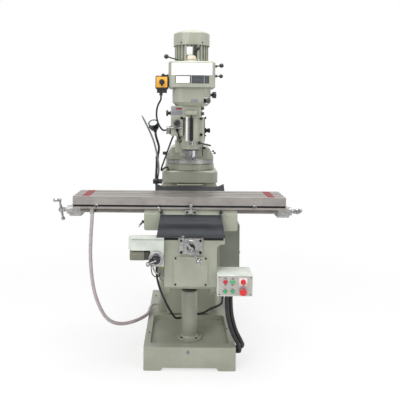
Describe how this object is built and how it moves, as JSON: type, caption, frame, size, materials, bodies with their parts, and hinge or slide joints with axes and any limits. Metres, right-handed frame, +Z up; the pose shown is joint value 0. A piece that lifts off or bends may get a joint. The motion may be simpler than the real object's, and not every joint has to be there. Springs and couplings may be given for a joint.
{
  "type": "turret milling machine",
  "caption": "Floor-standing turret knee mill: cast base and column, rising knee, cross saddle, T-slotted table, sliding ram and a tilting head with a finned motor.",
  "frame": {"origin": "on the floor under the middle of the base casting", "axes": "+Z up; +X to the operator's right, along the table; the operator stands at -Y"},
  "size_m": [1.5434, 1.2947, 2.062],
  "materials": {
    "enamel_grey_green": "semi-gloss machine enamel on cast iron",
    "dark_paint": "dark olive machine enamel",
    "ground_iron": "ground and scraped, satin",
    "bright_steel": "turned and ground",
    "black_steel": "black oxide and enamel",
    "black_plastic": "moulded phenolic",
    "black_rubber": "pleated sheet",
    "cabinet_paint": "powder coat",
    "lamp_black": "satin",
    "red_plastic": "moulded",
    "green_plastic": "moulded",
    "hose_grey": "smooth, slightly translucent",
    "hose_black": "smooth"
  },
  "bodies": {
    "frame": {"base_casting": "enamel_grey_green", "screw_pedestal": "enamel_grey_green", "column_casting": "enamel_grey_green", "electrical_cabinet": "cabinet_paint", "lamp_stem": "lamp_black", "coolant_hose": "bright_steel", "head_cable_lower": "hose_black"},
    "lamp_head": {"lamp_head": "lamp_black"},
    "knee": {"knee_casting": "enamel_grey_green", "lift_housing": "cabinet_paint", "lift_motor": "dark_paint", "control_box": "cabinet_paint", "front_way_cover": "black_rubber", "rear_way_cover": "black_rubber", "lift_cable": "hose_black", "front_panel_hose": "hose_black", "rear_panel_hose": "hose_black"},
    "elevation_crank": {"elevation_dial": "bright_steel", "elevation_crank": "bright_steel"},
    "elevating_screw": {"elevating_screw": "bright_steel"},
    "cross_feed": {"cross_screw": "bright_steel", "cross_crank": "bright_steel"},
    "isolator_knob": {"isolator_knob": "red_plastic"},
    "green_button_left": {"green_button_left": "green_plastic"},
    "green_button_right": {"green_button_right": "green_plastic"},
    "emergency_stop": {"emergency_stop": "red_plastic"},
    "saddle": {"saddle_casting": "enamel_grey_green"},
    "left_table_lock": {"left_table_lock": "bright_steel"},
    "right_table_lock": {"right_table_lock": "bright_steel"},
    "saddle_lock": {"saddle_lock": "bright_steel"},
    "table": {"table": "ground_iron", "left_screw_bracket": "bright_steel", "right_screw_bracket": "bright_steel", "drain_hose": "hose_grey"},
    "table_feed": {"table_screw": "bright_steel", "left_table_crank": "bright_steel", "right_table_crank": "bright_steel"},
    "turret": {"turret": "enamel_grey_green"},
    "ram": {"ram": "enamel_grey_green"},
    "ram_adapter": {"ram_adapter": "enamel_grey_green"},
    "head": {"head_casting": "enamel_grey_green", "gear_housing": "enamel_grey_green", "belt_housing": "enamel_grey_green", "motor_body": "enamel_grey_green", "fan_cover": "enamel_grey_green", "drum_switch": "black_plastic", "head_cable_upper": "hose_black"},
    "quill": {"quill": "bright_steel", "quill_stop": "black_plastic"},
    "spindle": {"spindle": "bright_steel"},
    "quill_pinion": {"quill_pinion": "black_steel"},
    "motor_lever": {"motor_lever": "black_plastic"},
    "brake_lever": {"brake_lever": "black_plastic"},
    "right_upper_lever": {"right_upper_lever": "black_plastic"},
    "right_lower_lever": {"right_lower_lever": "black_plastic"},
    "gear_knob": {"gear_knob": "black_plastic"},
    "feed_selector": {"feed_selector": "black_plastic"},
    "fine_feed_knob": {"fine_feed_knob": "black_plastic"},
    "quill_lock": {"quill_lock": "black_plastic"},
    "switch_knob": {"switch_knob": "black_plastic"}
  },
  "joints": [
    {"name": "knee_lift", "type": "slide", "parent": "frame", "child": "knee", "axis": [0, 0, -1], "range_m": [-0.08, 0.27], "deforming": ["lift_cable", "front_panel_hose", "rear_panel_hose"]},
    {"name": "elevation_crank_turn", "type": "hinge", "parent": "knee", "child": "elevation_crank", "pos_m": [-0.199, -0.56, 0.7], "axis": [0, -1, 0], "range_deg": [-11521, 38881]},
    {"name": "elevating_screw_turn", "type": "hinge", "parent": "knee", "child": "elevating_screw", "pos_m": [0, -0.274, 0.7], "axis": [0, 0, 1], "continuous": true},
    {"name": "cross_crank_turn", "type": "hinge", "parent": "knee", "child": "cross_feed", "pos_m": [0, -0.56, 0.7634], "axis": [0, -1, 0], "range_deg": [-12961, 9001]},
    {"name": "saddle_slide", "type": "slide", "parent": "knee", "child": "saddle", "axis": [0, -1, 0], "range_m": [-0.18, 0.125], "deforming": ["front_way_cover", "rear_way_cover"]},
    {"name": "table_slide", "type": "slide", "parent": "saddle", "child": "table", "axis": [1, 0, 0], "range_m": [-0.245, 0.385], "deforming": ["drain_hose"]},
    {"name": "table_screw_turn", "type": "hinge", "parent": "table", "child": "table_feed", "pos_m": [-0.069, -0.363, 0.932], "axis": [1, 0, 0], "range_deg": [-17641, 27721]},
    {"name": "left_table_lock_turn", "type": "hinge", "parent": "saddle", "child": "left_table_lock", "pos_m": [-0.176, -0.49, 0.946], "axis": [0, -1, 0], "range_deg": [-35, 35]},
    {"name": "right_table_lock_turn", "type": "hinge", "parent": "saddle", "child": "right_table_lock", "pos_m": [0.178, -0.49, 0.946], "axis": [0, -1, 0], "range_deg": [-35, 35]},
    {"name": "saddle_lock_turn", "type": "hinge", "parent": "saddle", "child": "saddle_lock", "pos_m": [-0.278, -0.45, 0.878], "axis": [-1, 0, 0], "range_deg": [-40, 40]},
    {"name": "turret_swivel", "type": "hinge", "parent": "frame", "child": "turret", "pos_m": [0, 0.19, 1.135], "axis": [0, 0, 1], "range_deg": [-20, 90], "deforming": ["head_cable_lower"]},
    {"name": "ram_slide", "type": "slide", "parent": "turret", "child": "ram", "axis": [0, -1, 0], "range_m": [-0.09, 0.215]},
    {"name": "head_nod", "type": "hinge", "parent": "ram", "child": "ram_adapter", "pos_m": [0, -0.15, 1.385], "axis": [1, 0, 0], "range_deg": [-45, 45]},
    {"name": "head_tilt", "type": "hinge", "parent": "ram_adapter", "child": "head", "pos_m": [0, -0.214, 1.385], "axis": [0, -1, 0], "range_deg": [-90, 90]},
    {"name": "quill_feed", "type": "slide", "parent": "head", "child": "quill", "axis": [0, 0, -1], "range_m": [0, 0.127]},
    {"name": "quill_pinion_turn", "type": "hinge", "parent": "head", "child": "quill_pinion", "pos_m": [0.082, -0.33, 1.428], "axis": [1, 0, 0], "range_deg": [0, 573]},
    {"name": "spindle_turn", "type": "hinge", "parent": "quill", "child": "spindle", "pos_m": [0, -0.34, 1.262], "axis": [0, 0, 1], "continuous": true},
    {"name": "motor_lever_turn", "type": "hinge", "parent": "head", "child": "motor_lever", "pos_m": [0.014, -0.4, 1.8503], "axis": [0, 0, 1], "range_deg": [-40, 40]},
    {"name": "brake_lever_turn", "type": "hinge", "parent": "head", "child": "brake_lever", "pos_m": [-0.062, -0.388, 1.8503], "axis": [0, 0, 1], "range_deg": [-10, 25]},
    {"name": "right_upper_lever_turn", "type": "hinge", "parent": "head", "child": "right_upper_lever", "pos_m": [0.1428, -0.38, 1.826], "axis": [1, 0, 0], "range_deg": [-30, 30]},
    {"name": "right_lower_lever_turn", "type": "hinge", "parent": "head", "child": "right_lower_lever", "pos_m": [0.1428, -0.4, 1.764], "axis": [1, 0, 0], "range_deg": [-30, 30]},
    {"name": "gear_knob_turn", "type": "hinge", "parent": "head", "child": "gear_knob", "pos_m": [0.118, -0.34, 1.65], "axis": [1, 0, 0], "range_deg": [-90, 90]},
    {"name": "feed_selector_turn", "type": "hinge", "parent": "head", "child": "feed_selector", "pos_m": [-0.126, -0.345, 1.535], "axis": [-1, 0, 0], "range_deg": [-60, 60]},
    {"name": "fine_feed_knob_turn", "type": "hinge", "parent": "head", "child": "fine_feed_knob", "pos_m": [-0.088, -0.405, 1.476], "axis": [0, -1, 0], "continuous": true},
    {"name": "quill_lock_turn", "type": "hinge", "parent": "head", "child": "quill_lock", "pos_m": [0.049, -0.34, 1.354], "axis": [0, -1, 0], "range_deg": [-30, 45]},
    {"name": "switch_knob_turn", "type": "hinge", "parent": "head", "child": "switch_knob", "pos_m": [-0.1813, -0.445, 1.7224], "axis": [0, -1, 0], "range_deg": [-60, 60]},
    {"name": "isolator_knob_turn", "type": "hinge", "parent": "knee", "child": "isolator_knob", "pos_m": [0.2998, -0.6121, 0.576], "axis": [0, -1, 0], "range_deg": [-90, 0]},
    {"name": "green_button_left_push", "type": "slide", "parent": "knee", "child": "green_button_left", "axis": [0, 0.9968, 0.0804], "range_m": [0, 0.005], "stiffness_N_per_m": 300},
    {"name": "green_button_right_push", "type": "slide", "parent": "knee", "child": "green_button_right", "axis": [0, 0.9968, 0.0804], "range_m": [0, 0.005], "stiffness_N_per_m": 300},
    {"name": "emergency_stop_push", "type": "slide", "parent": "knee", "child": "emergency_stop", "axis": [0, 0.9968, 0.0804], "range_m": [0, 0.006], "stiffness_N_per_m": 600},
    {"name": "lamp_head_nod", "type": "hinge", "parent": "frame", "child": "lamp_head", "pos_m": [-0.24287, 0.01981, 1.40803], "axis": [1, 0, 0], "range_deg": [-30, 30]}
  ],
  "couplings": [
    {"joint": "elevation_crank_turn", "follows": "knee_lift", "rad_per_m": 2513.3},
    {"joint": "elevating_screw_turn", "follows": "knee_lift", "rad_per_m": 1256.6},
    {"joint": "cross_crank_turn", "follows": "saddle_slide", "rad_per_m": 1256.6},
    {"joint": "table_screw_turn", "follows": "table_slide", "rad_per_m": 1256.6},
    {"joint": "quill_pinion_turn", "follows": "quill_feed", "rad_per_m": 78.74}
  ]
}
